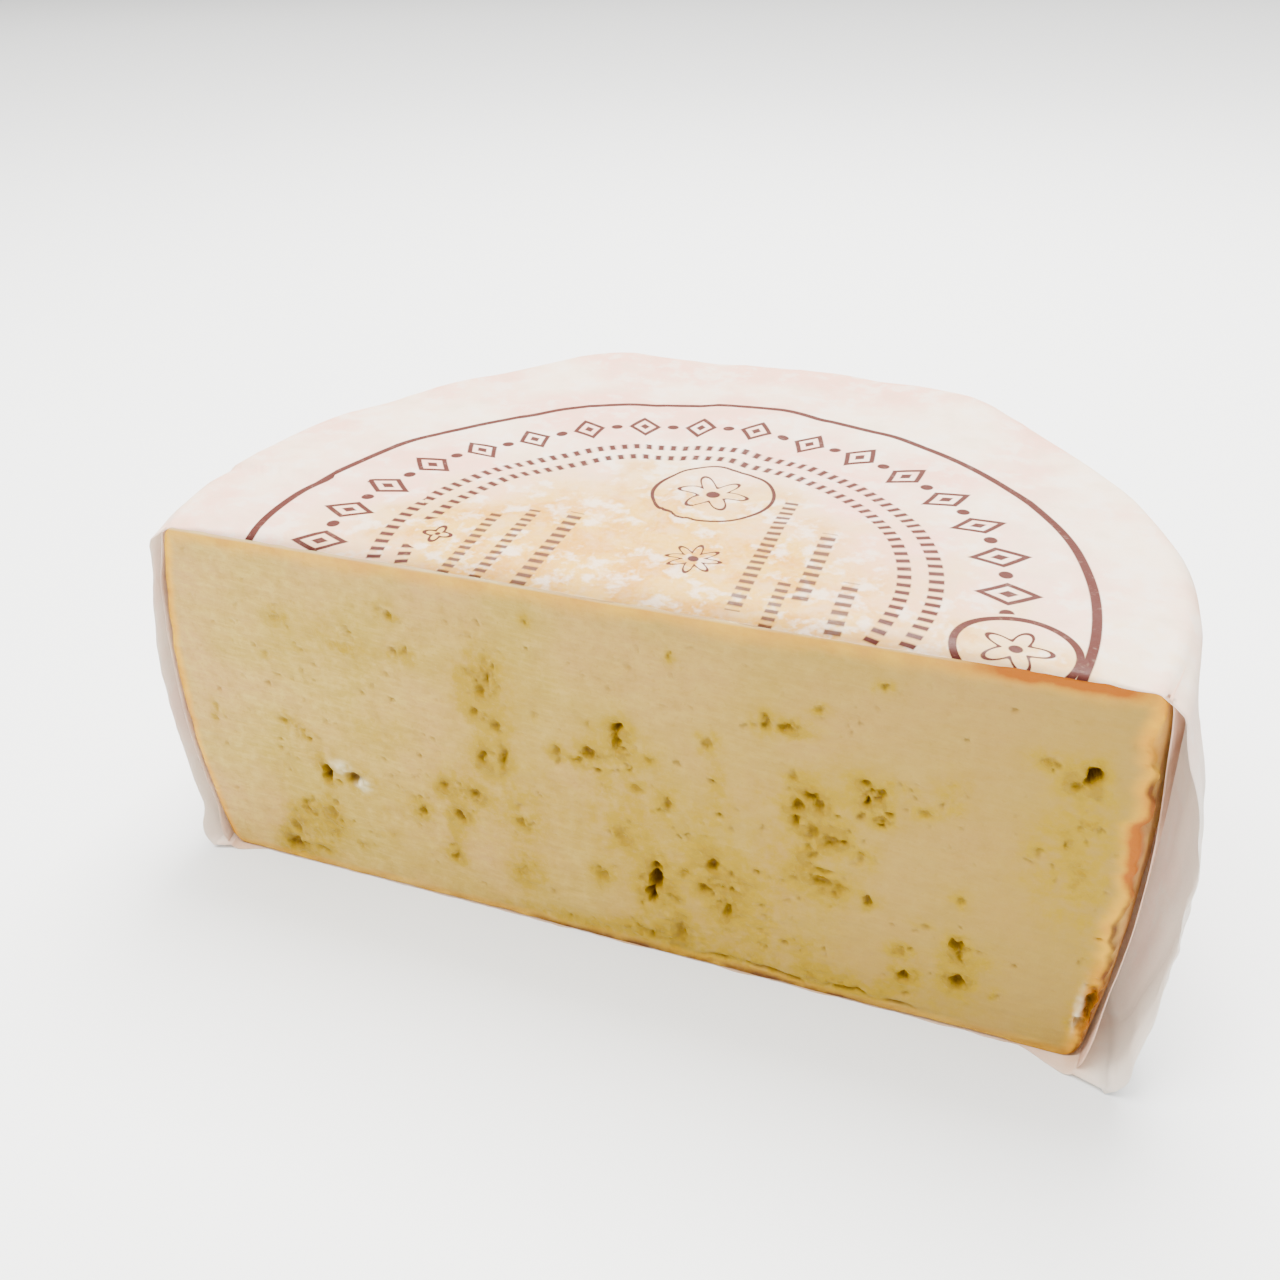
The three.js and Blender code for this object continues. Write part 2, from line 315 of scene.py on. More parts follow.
def cut_face():
    """The cut, as a Coons patch between its four edges, which lie on the rind: each point is the
    blend across plus the blend up less the blend of the corners. Depth is then added along Y."""
    i = np.linspace(0, 1, CUT_COLUMNS + 1)[:, None]
    j = np.linspace(0, 1, CUT_ROWS + 1)[None, :]
    flat_i, flat_j = np.ones_like(i), np.ones_like(j)

    def edge(points, out):
        shift = rind_relief(points)[..., None] * out
        return (points + shift)[..., [0, 2]]

    top = edge(*cheese_wheel.cap(i, flat_i, CUT, True))
    base = edge(*cheese_wheel.cap(i, flat_i, CUT, False))
    right = edge(*cheese_wheel.side(0 * j, j, CUT))
    left = edge(*cheese_wheel.side(flat_j, j, CUT))
    height = right[..., 1]
    beside = flat(height, 0 * height)
    ragged = 0.6 * cloud(beside, 4.5, 13) + 0.6 * cloud(beside, 1.9, 14)
    ends = smooth(0, 0.06, j) * smooth(0, 0.06, 1 - j)
    right[..., 0] += ends * (ragged - 0.55)
    up = j[..., None]
    along = i[..., None]
    corners = (
        (1 - along) * (1 - up) * base[:1] + along * (1 - up) * base[-1:]
        + (1 - along) * up * top[:1] + along * up * top[-1:]
    )
    across = (1 - along) * right + along * left
    return across + (1 - up) * base + up * top - corners


def grid_faces(first, columns, rows):
    """Quads of a grid whose points are numbered from first, row by row within each column."""
    i, j = np.meshgrid(np.arange(columns), np.arange(rows), indexing="ij")
    corner = (first + i * (rows + 1) + j).ravel()
    return np.column_stack([corner, corner + 1, corner + rows + 2, corner + rows + 1]).tolist()


def grid_loop(columns, rows, first, low_row, high_row, last):
    """The numbers of a grid's edge points, once round: along the row low_row from the first column,
    down the last column from `first` to `last`, back along high_row and up the first column."""
    column, row = np.arange(columns), np.arange(first, last, 1 if last > first else -1)
    step = rows + 1
    return np.concatenate([
        column * step + low_row,
        columns * step + row,
        (columns - column) * step + high_row,
        last - row + first,
    ])


def make_piece(name, points, faces, masks, finish, sharp=None):
    """A mesh object at the origin from points in millimetres, with a number mask for each name in
    masks; points that coincide are merged, and edges that turn more than sharp are kept crisp."""
    mesh = bpy.data.meshes.new(name)
    mesh.from_pydata((points * MM).tolist(), [], faces)
    for mask_name, values in masks.items():
        layer = mesh.attributes.new(mask_name, "FLOAT", "POINT")
        layer.data.foreach_set("value", np.asarray(values, np.float32))
    work = bmesh.new()
    work.from_mesh(mesh)
    bmesh.ops.remove_doubles(work, verts=work.verts, dist=MERGE_DISTANCE)
    work.to_mesh(mesh)
    work.free()
    mesh.polygons.foreach_set("use_smooth", np.ones(len(mesh.polygons), bool))
    if sharp:
        mesh.set_sharp_from_angle(angle=sharp)
    mesh.materials.append(finish)
    piece = bpy.data.objects.new(name, mesh)
    bpy.context.scene.collection.objects.link(piece)
    return piece


class Wire:
    """A shader socket that can be added to, multiplied and compared: each sum adds a Math node."""

    def __init__(self, finish, socket):
        self.finish = finish
        self.socket = socket

    def math(self, operation, *others, clamp=False):
        settings = {"operation": operation, "use_clamp": clamp}
        values = dict(enumerate((self, *others)))
        return self.finish.node("ShaderNodeMath", settings, values)

    def __add__(self, other):
        return self.math("ADD", other)

    def __sub__(self, other):
        return self.math("SUBTRACT", other)

    def __mul__(self, other):
        return self.math("MULTIPLY", other)

    def __truediv__(self, other):
        return self.math("DIVIDE", other)

    def __rsub__(self, other):
        return self.finish.node("ShaderNodeMath", {"operation": "SUBTRACT"}, {0: other, 1: self})

    def clipped(self):
        """The value held between 0 and 1."""
        return self.math("ADD", 0.0, clamp=True)

    def within(self, half_width, soft):
        """1 where the value is nearer to 0 than half_width, falling to 0 over soft."""
        return ((half_width - self.math("ABSOLUTE")) / soft + 0.5).clipped()

    def ramp(self, *stops):
        return self.finish.node("ShaderNodeValToRGB", {"stops": stops}, {"Fac": self})

    def rise(self, low, high):
        """0 below low, 1 above high and a straight ramp between them."""
        return self.ramp((low, (0, 0, 0)), (high, (1, 1, 1)))

    def fall(self, low, high):
        """1 below low, 0 above high and a straight ramp between them."""
        return self.ramp((low, (1, 1, 1)), (high, (0, 0, 0)))


class Finish:
    """A material's node tree, with one method that adds any node."""

    def __init__(self, name):
        self.material = bpy.data.materials.new(name)
        self.material.use_nodes = True
        self.tree = self.material.node_tree
        self.tree.nodes.clear()

    def node(self, kind, settings, values, out=0):
        """Adds a node: its settings first, then each socket's value or link. Gives output `out`."""
        made = self.tree.nodes.new(kind)
        for name, value in settings.items():
            if name == "stops":
                self._stops(made.color_ramp, value)
            else:
                setattr(made, name, value)
        for name, value in values.items():
            if isinstance(value, Wire):
                self.tree.links.new(value.socket, made.inputs[name])
            else:
                made.inputs[name].default_value = value
        return Wire(self, made.outputs[out]) if made.outputs else made

    @staticmethod
    def _stops(ramp, stops):
        while len(ramp.elements) < len(stops):
            ramp.elements.new(1.0)
        for element, (position, colour) in zip(ramp.elements, stops):
            element.position = position
            element.color = (*colour, 1.0)

    def mask(self, name):
        """One of the piece's own number masks."""
        return self.node("ShaderNodeAttribute", {"attribute_name": name}, {}, "Fac")

    def place(self, stretch=(1, 1, 1), turn=(0, 0, 0)):
        """The point on the piece in millimetres, turned and then stretched."""
        here = self.node("ShaderNodeTexCoord", {}, {}, "Object")
        scale = tuple(1 / (MM * s) for s in stretch)
        turned = self.node("ShaderNodeMapping", {}, {"Vector": here, "Rotation": turn})
        return self.node("ShaderNodeMapping", {}, {"Vector": turned, "Scale": scale})

    def axes(self, place):
        """The three coordinates of a place, a wire for each."""
        return [self.node("ShaderNodeSeparateXYZ", {}, {0: place}, axis) for axis in range(3)]

    def noise(self, place, size, detail=2.0, roughness=0.5):
        """Cloudy noise from 0 to 1 whose features are about `size` millimetres wide."""
        values = {"Vector": place, "Scale": 1 / size, "Detail": detail, "Roughness": roughness}
        return self.node("ShaderNodeTexNoise", {}, values, "Fac")

    def mix(self, share, one, other):
        """The colour one where share is 0 and other where it is 1."""
        return self.node("ShaderNodeMix", {"data_type": "RGBA"}, {0: share, 6: one, 7: other}, 2)


def shade(red, green, blue):
    """A screen colour, each part from 0 to 255, as the linear colour that a shader takes."""
    parts = np.array([red, green, blue]) / 255
    linear = np.where(parts <= 0.04045, parts / 12.92, ((parts + 0.055) / 1.055) ** 2.4)
    return (*linear.tolist(), 1.0)


PASTE = shade(173, 147, 59)
PASTE_PINK = shade(185, 148, 82)
PASTE_LIGHT = shade(198, 170, 88)
# painted shade: the paste's colour where it is shaded, towards +X
PASTE_PAINTED_SHADE = shade(150, 121, 53)
FLECK = shade(140, 110, 30)
OILY = shade(158, 129, 0)
OIL_DEEP = shade(142, 112, 0)
# painted shade for the eyes, the pinholes and the crack over the base
EYE_PAINTED_SHADE = shade(112, 78, 0)
CRUMB = shade(240, 234, 200)
RIND_GOLD = shade(226, 170, 10)
RIND_OCHRE = shade(208, 142, 8)
RIND_BROWN = shade(92, 54, 16)
RIND_ORANGE = shade(160, 86, 0)


def cheese_finish():
    """Cream paste with pinkish clouds, knife smears and flecks; olive where oil has soaked in;
    painted shade in the eyes, the pinholes and the crack over the base, and over the paste towards
    +X; golden, then orange-brown, at the rind; waxy and a little see-through."""
    finish = Finish("cured cheese")
    place = finish.place()
    smear_place = finish.place((6, 6, 0.8), (0, SMEAR_TILT, 0))
    clouds = finish.noise(place, 22, 3)
    smears = finish.noise(smear_place, 1, 4, 0.65)
    grain = finish.noise(place, 0.8, 3, 0.7)
    masks = ("oil", "pit", "rind", "crust", "crumb")
    oil, pit, rind, crust, crumb = (finish.mask(name) for name in masks)
    paste = finish.mix(clouds.rise(0.35, 0.65), PASTE, PASTE_PINK)
    paste = finish.mix((smears - 0.45) * 2.4, paste, PASTE_LIGHT)
    curds = finish.noise(place, 3, 3, 0.6)
    paste = finish.mix(curds.rise(0.5, 0.7) * 0.6, paste, PASTE_LIGHT)
    paste = finish.mix(curds.fall(0.3, 0.46) * 0.3, paste, FLECK)
    paste = finish.mix((0.45 - grain).clipped() * 2.0, paste, FLECK)
    # painted shade: the paste darkens evenly towards +X
    across = finish.axes(place)[0]
    paste = finish.mix(((across + 70) / 170).clipped() * 0.8, paste, PASTE_PAINTED_SHADE)
    specks = finish.noise(place, 1.3, 4, 0.75)
    paste = finish.mix((oil * (specks * 6.0 - 0.9)).clipped() * 0.9, paste, OILY)
    paste = finish.mix((oil * specks * 4.0 - 1.1).clipped() * 0.85, paste, OIL_DEEP)
    gold = finish.noise(place, 7, 4, 0.6)
    rind_colour = finish.mix(gold.rise(0.38, 0.62), RIND_GOLD, RIND_OCHRE)
    paste = finish.mix(rind.clipped() * 0.9, paste, rind_colour)
    paste = finish.mix((crust * (gold * 2.4 - 0.25)).clipped(), paste, RIND_BROWN)
    paste = finish.mix((finish.mask("blush") * (gold * 3.4 - 0.3)).clipped(), paste, RIND_ORANGE)
    # painted shade: the eyes, pinholes and base crack darkened by how deep they are
    paste = finish.mix((pit * (specks * 1.6 + 0.3)).clipped(), paste, EYE_PAINTED_SHADE)
    # the crumb mask: the lifted crumbs, the pale line along the cut's top edge, and a little on the
    # rind outside
    paste = finish.mix(crumb * 0.75, paste, CRUMB)
    bump = smears * 0.3 + grain * 0.4 + curds * 0.5 + finish.noise(place, 0.35, 2) * 0.15
    bump = bump + oil * specks * 1.6
    rough = 0.52 - oil * 0.3 - pit * 0.1 + (smears - 0.5) * 0.15
    normal = finish.node("ShaderNodeBump", {}, {"Height": bump, "Strength": 0.5, "Distance": 0.0004})
    waxy = finish.node("ShaderNodeBsdfPrincipled", {}, {
        "Base Color": paste, "Roughness": rough, "Normal": normal,
        "Subsurface Weight": 0.15, "Subsurface Radius": (1.0, 0.62, 0.28), "Subsurface Scale": 0.0014,
        "Specular IOR Level": 0.12,
    })
    finish.node("ShaderNodeOutputMaterial", {}, {"Surface": waxy})
    return finish.material


def cut_detail(face):
    """How deep each point of the cut lies, and its masks. Depth is the larger of eyes and pinholes,
    plus crumbly oil patches, knife smears and a crack over the base, less the crumbs that stand up;
    it fades out at the edges. The rind's masks fall off with the way in from each edge."""
    x, z = face[..., 0], face[..., 1]
    at = flat(x, z)
    eye_depth, halo = opened(x, z, EYES)
    pin_depth, _ = opened(x, z, pinholes(np.random.default_rng(23)))
    oil = np.clip(soaked(x, z) + 0.8 * halo * (1 + cloud(at, 2, 15)), 0, 1)
    tilt_x = x * math.cos(SMEAR_TILT) - z * math.sin(SMEAR_TILT)
    tilt_z = z * math.cos(SMEAR_TILT) + x * math.sin(SMEAR_TILT)
    smears = 0.1 * cloud(flat(tilt_x / 9, tilt_z), 1.0, 16) + 0.25 * cloud(at, 26, 17)
    crumbly = oil * (0.28 * cloud(at, 1.1, 18) + 0.1)

    from_top = cheese_wheel.top - z
    from_base = z - cheese_wheel.base
    from_right = face[:1, :, 0] - x
    from_left = x - face[-1:, :, 0]
    wander = cloud(at, 9, 19) * 0.5 + cloud(at, 3, 20) * 0.3
    rind = np.max([
        0.72 * (1 - smooth(0.8, 4.8 + 2.0 * wander, from_top)),
        0.55 * (1 - smooth(0.2, 2.6 + 1.2 * wander, from_base)),
        1 - smooth(0.2, 2.6 + 0.9 * wander, from_left),
        1 - smooth(0.4, 4.2 + 1.6 * wander, from_right),
    ], 0)
    oily_base = smooth(-45, 0, x) * (1 - smooth(52, 66, x))
    crust = np.max([
        (1 - smooth(0.3, 1.3 + wander, from_right)) * (1 - smooth(66, 80, z)),
        (1 - smooth(0.1, 1.9 + wander, from_base)) * (0.35 + 0.65 * oily_base),
        (1 - smooth(0.1, 0.7, from_left)) * 0.35,
    ], 0)

    along = flat(x, 0 * x)
    groove_at = 2.6 + 0.8 * cloud(along, 7, 21) + 0.4 * cloud(along, 2, 22)
    groove = 1 - smooth(0.15, 0.7, np.abs(from_base - groove_at))
    groove = groove * smooth(18, 30, x) * (1 - smooth(62, 72, x)) * smooth(-0.3, 0.3, cloud(at, 6, 24))
    blush = smooth(64, 78, x) * (1 - smooth(92, 99, x)) * (1 - smooth(0.9, 3.2 + wander, from_top))
    blush += (1 - smooth(0.8, 2.6 + wander, from_right)) * np.exp(-(((z - 53) / 9) ** 2))
    blush = np.clip(blush + spot(x, z, (100.2, 14, 1.8, 7)), 0, 1)
    crumb = spot(x, z, CRUMBS[0]) + 0.8 * spot(x, z, CRUMBS[1]) + 0.9 * spot(x, z, CRUMBS[2])
    crumb = np.clip(crumb * (0.8 + 0.7 * cloud(at, 0.9, 25)), 0, 1)
    # a pale line along the top edge of the cut, left of x = 60, put into the crumb mask
    top_line = 0.6 * (1 - smooth(0.2, 0.9, from_top)) * (1 - smooth(60, 70, x))

    holes = np.maximum(eye_depth * (0.7 + 0.2 * smooth(1.5, 3.5, eye_depth)), pin_depth * 0.9)
    depth = holes + crumbly + smears + 0.9 * groove - 0.35 * crumb
    depth = depth * smooth(0, 0.7, np.min([from_top, from_base, from_left, from_right], 0))
    # painted shade: a mask that darkens the eyes by their depth, the pinholes, and the crack over the
    # base
    pit = np.clip(np.maximum(eye_depth / 3.2, pin_depth * (0.3 + 0.6 * oil)), 0, 1) + 0.5 * groove
    masks = {"oil": oil, "pit": pit, "rind": rind, "crust": crust, "blush": blush}
    masks["crumb"] = np.maximum(crumb, top_line)
    return depth, masks


def build_cheese():
    """The cut face's fine grid, the rind's coarser grid behind it, and a strip of many-sided faces
    that joins each cell edge of the rind to the cut's four."""
    face = cut_face()
    depth, face_masks = cut_detail(face)
    face_points = flat(face[..., 0], CUT + depth, face[..., 1]).reshape(-1, 3)

    columns, rows = CUT_COLUMNS // SHELL_PER_CUT, CUT_ROWS // SHELL_PER_CUT
    shell, out = cheese_wheel.skin(columns, CAP_ROWS, rows, CUT + SHELL_BACK)
    shell = shell + rind_relief(shell)[..., None] * out
    shell_rows = shell.shape[1] - 1
    shell_points = shell.reshape(-1, 3)

    fine = grid_loop(CUT_COLUMNS, CUT_ROWS, CUT_ROWS, CUT_ROWS, 0, 0)
    coarse = grid_loop(columns, shell_rows, CAP_ROWS, 0, shell_rows, CAP_ROWS + rows)
    coarse = coarse + len(face_points)
    starts = np.arange(len(coarse))
    strip = [coarse[starts], coarse[(starts + 1) % len(coarse)]]
    for step in range(SHELL_PER_CUT, -1, -1):
        strip.append(fine[(starts * SHELL_PER_CUT + step) % len(fine)])
    faces = grid_faces(0, CUT_COLUMNS, CUT_ROWS)
    faces += grid_faces(len(face_points), columns, shell_rows)
    faces += np.column_stack(strip).tolist()

    masks = {}
    for name, values in face_masks.items():
        on_shell = np.full(len(shell_points), SHELL_MASKS.get(name, 0.0))
        masks[name] = np.concatenate([values.ravel(), on_shell])
    points = leaned(np.concatenate([face_points, shell_points]))
    return make_piece("cheese", points, faces, masks, cheese_finish(), math.radians(65))


cheese = build_cheese()
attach(cheese, "root")
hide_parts("cheese_half")


# --------------------------------------------------
# The wrapper: one sheet of printed greaseproof paper.
# Laid over the top, pleated down the side and folded flat under the base, then cut through with
# the cheese. It clings where oil has wetted it and has sprung loose beside the two ends of the cut.
# --------------------------------------------------
PAPER_THICK = 0.14
PAPER_STAND = 0.45  # from the rind's mean surface to the middle of the sheet
PAPER_CLING = 0.34  # how much of that it gives up along the top of the cut
PAPER_RISE = 0.2  # from the top of the CAD's skin to the middle of the sheet
FOOT_RIGHT = 4.5  # how far the sheet is bunched forward at the foot of each end of the cut
FOOT_LEFT = 2.6
PAPER_COLUMNS = 420
PAPER_CAP_ROWS = 20
PAPER_SIDE_ROWS = 56
paper_low, paper_high = (np.array(corner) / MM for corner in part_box("paper_wrapper"))
paper_wheel = Wheel(
    RIM + PAPER_STAND,
    paper_low[2] + PAPER_THICK / 2,
    paper_high[2] + PAPER_RISE,
    RIM_ROUND + PAPER_STAND,
)

# Where the sheet stands off the rind beside the cut: how far, the loosest height, spans, spread
LOOSE_RIGHT = {"reach": 9.4, "highest": 28.0, "up": 62.0, "down": 40.0, "spread": 0.2}
LOOSE_LEFT = {"reach": 3.8, "highest": 20.0, "up": 85.0, "down": 85.0, "spread": 0.2}

# Pleats: the angle of each round the wheel, in degrees, and how far its top is from the rim, 0 to 1
PLEATS = [
    (0, 0.6), (15, 0.5), (31, 0.3), (47, 0.45), (62, 0.2), (79, 0.5), (95, 0.35), (109, 0.25),
    (126, 0.5), (140, 0.3), (157, 0.4), (171, 0.55), (186, 0.6),
]
PLEAT_HALF = 7.0  # half the width that one pleat takes up, before it is folded
PLEAT_DEPTH = 6.0
PLEAT_LIFT = 0.75

# Where the sheet stands off the far rim: angle and width in degrees, height
PUFFS = [(60, 13, 2.3), (115, 12, 2.6), (139, 7, 0.7)]

# Inner plies: first u, last u, stand-off at the cut, how brown, seed
PLIES = [(0.0, 0.085, 1.0, 1.0, 51), (0.94, 1.0, 0.9, 0.25, 61)]
PLY_COLUMNS = 28
PLY_ROWS = 60


def looseness(end, from_cut, z):
    """reach x exp(-(angle from the cut / spread)^2) x (1 - share^2), share being the height above
    or below the loosest height."""
    share = (z - end["highest"]) / np.where(z > end["highest"], end["up"], end["down"])
    return end["reach"] * np.exp(-((from_cut / end["spread"]) ** 2)) * np.clip(1 - share**2, 0, None)


def pleated(u, down):
    """Knife pleats: near each, the way round s becomes s - depth sin(pi q), q running -1 to 1 over
    the pleat, so that the sheet doubles back; and it is lifted there, one layer over the next.
    down is 0 at the top rim, 1 at the lower rim. Gives the new u and the lift."""
    start = math.asin(CUT / RIM)
    span = math.pi - 2 * start
    shift = np.zeros_like(u)
    lift = np.zeros_like(u)
    for degrees, top in PLEATS:
        centre = (math.radians(degrees) - start) / span
        q = (u - centre) * span * RIM / PLEAT_HALF
        open_share = smooth(top, 1.0, down)
        inside = np.abs(q) < 1
        shift -= np.where(inside, np.sin(math.pi * q), 0) * PLEAT_DEPTH * open_share / (span * RIM)
        layer = smooth(-0.5, 0.5, q) * (1 - smooth(0.85, 1.9, q))
        lift += PLEAT_LIFT * layer * smooth(0, 0.3, open_share)
    return u + shift, lift


def creases(points, down):
    """Sharp-backed creases, 1 - |noise| raised to a power: long ones down the side, and a net of
    finer ones everywhere, stronger towards the lower rim."""
    angle = np.arctan2(points[..., 1], points[..., 0])
    around = angle * RIM
    z = points[..., 2]
    long_place = flat(around / 9 + 0.5 * cloud(flat(around, z), 30, 31), z / 60)
    long_ones = (1 - np.abs(cloud(long_place, 1, 32))) ** 5
    slant = (1 - np.abs(cloud(flat((around + z * 0.7) / 14, (z - around * 0.4) / 26), 1, 33))) ** 6
    net = (1 - np.abs(cloud(points, (15, 15, 13), 34))) ** 7
    side = smooth(0.0, 0.35, down) * (1 - smooth(1.0, 1.06, down))
    strength = side * (0.35 + 0.65 * np.clip(down, 0, 1))
    rim = np.clip(0.3 + cloud(flat(around, 0 * z), 21, 38), 0, None)
    rim = np.exp(-(((down - 0.04) / 0.07) ** 2)) * rim
    folds = 0.9 * long_ones + 0.55 * slant + 0.5 * cloud(points, 17, 35)
    return strength * folds + 0.16 * net + 0.9 * rim


def puffed(points, down):
    """How high the sheet stands off the far rim: sum of height x exp(-((angle - at) / width)^2),
    rising over the outer fifth of the top and falling down the side."""
    angle = np.degrees(np.arctan2(points[..., 1], points[..., 0]))
    away = np.hypot(points[..., 0], points[..., 1]) / RIM
    high = np.zeros_like(angle)
    for at, width, height in PUFFS:
        high += height * np.exp(-(((angle - at) / width) ** 2))
    return high * smooth(0.8, 0.99, away) * (1 - smooth(0.0, 0.45, down))


def wrapper_points():
    """The sheet's middle surface: the wheel's skin with its way round gathered into pleats, before
    build_wrapper moves it out by dents, looseness and creases and brings its cut edge forward. Gives
    the points, their outward directions, how far down each lies and the pleats' lift."""
    u = np.linspace(0, 1, PAPER_COLUMNS + 1)[:, None]
    t = np.linspace(1, 0, PAPER_CAP_ROWS + 1)[None, :] ** 1.6
    v = np.linspace(1, 0, PAPER_SIDE_ROWS + 1)[None, :]
    u_cap, t_cap = np.broadcast_arrays(u, t)
    u_side, v_side = np.broadcast_arrays(u, v)
    side_u, side_lift = pleated(u_side, 1 - v_side)
    base_u, base_lift = pleated(u_cap, 1 - smooth(0.3, 0.75, t_cap[:, ::-1]))
    top, top_out = paper_wheel.cap(u_cap, t_cap, CUT, True)
    side, side_out = paper_wheel.side(side_u, v_side, CUT)
    base, base_out = paper_wheel.cap(base_u, t_cap[:, ::-1], CUT, False)
    points = np.concatenate([top[:, :-1], side, base[:, 1:]], 1)
    out = np.concatenate([top_out[:, :-1], side_out, base_out[:, 1:]], 1)
    down = np.concatenate([0 * t_cap[:, :-1], 1 - v_side, 1 + t_cap[:, ::-1][:, 1:]], 1)
    lift = np.concatenate([0 * t_cap[:, :-1], side_lift, -base_lift[:, 1:]], 1)
    return points, out, down, lift


def loosened(points, down):
    """How far each point stands off for the two loose ends together, uneven along their height."""
    angle = np.arctan2(points[..., 1], points[..., 0])
    angle = np.where(angle < -math.pi / 2, angle + 2 * math.pi, angle)
    start = math.asin(CUT / RIM)
    z = points[..., 2]
    uneven = 1 + 0.12 * cloud(flat(z, 0 * z), 13, 36) + 0.07 * cloud(flat(z, 0 * z), 5, 37)
    uneven = uneven + 0.09 * cloud(flat(angle * RIM / 4, z / 22), 1, 39)
    right = looseness(LOOSE_RIGHT, angle - start, z)
    left = looseness(LOOSE_LEFT, math.pi - start - angle, z)
    return (right + left) * uneven * smooth(0.0, 0.04, down) * (1 - smooth(1.0, 1.04, down))


def edge_forward(points, seed):
    """How far the sheet's cut edge comes forward of the knife's plane: ragged by a few tenths, and
    bunched forward at the foot of each end."""
    x, z = points[..., 0], points[..., 2]
    ragged = 0.15 + 0.25 * cloud(points, 6, seed) + 0.15 * cloud(points, 2, seed + 1)
    foot_right = FOOT_RIGHT * smooth(88, 99, x) * (1 - smooth(6, 26, z))
    foot_left = FOOT_LEFT * smooth(90, 100, -x) * (1 - smooth(4, 12, z))
    near = np.exp(-(points[..., 1] - CUT) / 5)
    return (ragged + foot_right + foot_left) * near


def build_wrapper():
    """The sheet, and at each end the inner ply that hugs the rind behind the loose outer one. Along
    the top of the cut the sheet follows the rind's relief, and under the base it lies flat."""
    points, out, down, lift = wrapper_points()
    move = lift + creases(points, down) + 0.3 * cloud(points, 24, 1)
    held = np.exp(-(points[..., 1] - CUT) / 4) * (1 - smooth(0, 0.05, down))
    move += held * (rind_relief(points) - PAPER_CLING - move)
    loose = loosened(points, down)
    shaped = points + out * move[..., None]
    way_out = points[..., :2] / np.hypot(points[..., 0], points[..., 1])[..., None]
    puff = puffed(points, down)
    shaped[..., :2] += way_out * (loose + 0.9 * puff)[..., None]
    shaped[..., 2] += puff * (1 - smooth(0.0, 0.2, down))
    shaped[..., 1] -= edge_forward(points, 40)
    folded_under = points[..., 2] + 0.3 * lift
    shaped[..., 2] = np.where(down > 1, folded_under, shaped[..., 2])
    shaped[..., 2] = np.maximum(shaped[..., 2], paper_wheel.base)

    columns, rows = shaped.shape[0] - 1, shaped.shape[1] - 1
    all_points = [shaped.reshape(-1, 3)]
    faces = grid_faces(0, columns, rows)
    slack = [np.clip(loose / 6, 0, 1).ravel()]
    stained = [np.zeros(shaped[..., 0].size)]
    first = shaped[..., 0].size
    for from_u, to_u, stand, brown, seed in PLIES:
        ply = inner_ply(from_u, to_u, stand, seed)
        all_points.append(ply.reshape(-1, 3))
        faces += grid_faces(first, ply.shape[0] - 1, ply.shape[1] - 1)
        slack.append(np.zeros(ply[..., 0].size))
        stained.append(np.full(ply[..., 0].size, brown))
        first += ply[..., 0].size
    masks = {"slack": np.concatenate(slack), "stained": np.concatenate(stained)}
    piece = make_piece("wrapper", leaned(np.concatenate(all_points)), faces, masks, paper_finish())
    thick = piece.modifiers.new("thickness", "SOLIDIFY")
    thick.thickness = PAPER_THICK * MM
    thick.offset = 0
    return piece


def inner_ply(from_u, to_u, stand, seed):
    """A strip of the side from u to u, standing off by `stand` at the cut and nothing at its root."""
    u = np.linspace(from_u, to_u, PLY_COLUMNS + 1)[:, None]
    v = np.linspace(0.995, 0.01, PLY_ROWS + 1)[None, :]
    u, v = np.broadcast_arrays(u, v)
    points, out = paper_wheel.side(u, v, CUT)
    to_cut = 1 - np.minimum(u, 1 - u) / (to_u - from_u)
    belly = 0.35 + 0.65 * np.sin(math.pi * np.clip(v * 0.9 + 0.08, 0, 1))
    move = stand * to_cut**1.5 * belly + 0.35 * cloud(points, 9, seed) * to_cut - 0.15
    shaped = points + out * move[..., None]
    shaped[..., 1] -= edge_forward(points, seed + 3) * 0.7
    shaped[..., 2] = np.maximum(shaped[..., 2], paper_wheel.base + 0.2)
    return shaped


RING_CENTRE = (4.0, -13.0)
RING = 83.9  # the heavy ring's radius, and half its width
RING_HALF = 0.95
BAND = 68.5  # the radius of the band of lozenges, and how many there are round it
LOZENGES = 31
LOZENGE_WIDE = 4.1  # half a lozenge's size round the band, and along its radius
LOZENGE_HIGH = 6.4
DOT_AWAY = 6.9  # from a lozenge's middle to the dot beside it
# Beaded rings: radius, count, half width
BEADED_RINGS = [(55.5, 120, 1.5), (49.5, 106, 1.4)]
# Beaded rows: x, lowest y, highest y, pitch, half width
BEADED_ROWS = [
    (-47, -31, -15, 3.2, 1.6), (-33, -31, -5, 2.4, 1.3), (-26, -31, -1, 2.4, 1.3),
    (-17, -31, 1, 2.8, 1.6), (25, -27, 20, 2.6, 1.5), (32, -31, -15, 2.4, 1.3),
    (36, -21, 7, 3.0, 1.6), (44, -31, -11, 3.0, 1.6), (54, -31, -3, 2.8, 1.5),
]
# Round stamps: x, y, radius, petals, half the frame's line, 0 for none
STAMPS = [
    (7.5, 19, 13.3, 6, 0.45), (12.5, -11, 9.5, 8, 0), (75, -25, 10.6, 5, 0.75), (-41, -17, 5.2, 4, 0),
]


